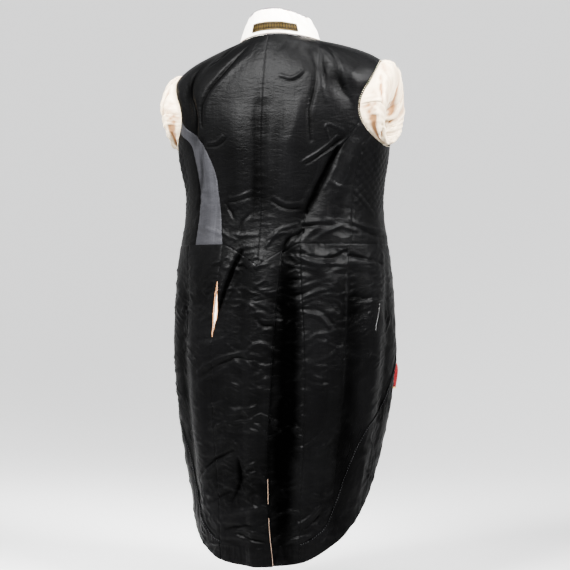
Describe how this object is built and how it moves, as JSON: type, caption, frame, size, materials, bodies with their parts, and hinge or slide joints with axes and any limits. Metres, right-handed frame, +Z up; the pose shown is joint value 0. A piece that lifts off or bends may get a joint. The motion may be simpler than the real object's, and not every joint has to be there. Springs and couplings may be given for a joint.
{
  "type": "tailcoat",
  "caption": "Long stand-collared uniform tailcoat turned inside out and filled out as worn: satin lining outermost, sleeves turned in, open vent and cutaway skirts.",
  "frame": {"origin": "middle of the neck opening, level with the collar seam at the centre back", "axes": "+Z up along the coat, the wearer faces -Y, the wearer's left is +X"},
  "size_m": [0.4647, 0.3547, 1.0543],
  "materials": {
    "lining_satin": "black satin",
    "side_satin": "grey-black satin",
    "sleeve_lining": "cream cotton sateen",
    "collar_lining": "ivory twill",
    "label_weave": "woven tape, bare",
    "cuff_cloth": "red wool",
    "gilt": "gilt"
  },
  "bodies": {
    "root": {"back_left": "lining_satin", "back_right": "lining_satin", "side_body_left": "side_satin", "side_body_right": "side_satin", "front_left": "lining_satin", "front_right": "lining_satin", "tail_left": "lining_satin", "tail_right": "lining_satin", "skirt_panel_left": "lining_satin", "skirt_panel_right": "lining_satin", "skirt_front_left": "lining_satin", "skirt_front_right": "lining_satin", "top_sleeve_left": "sleeve_lining", "top_sleeve_right": "sleeve_lining", "under_sleeve_left": "sleeve_lining", "under_sleeve_right": "sleeve_lining", "cuff_left": "cuff_cloth", "cuff_right": "cuff_cloth", "facing_left": "lining_satin", "facing_right": "lining_satin", "collar": "collar_lining", "neck_label": "label_weave", "pocket_bag": "collar_lining", "button_1": "gilt", "button_2": "gilt", "button_3": "gilt", "button_4": "gilt", "button_5": "gilt", "button_6": "gilt", "button_7": "gilt", "button_8": "gilt"}
  },
  "joints": []
}
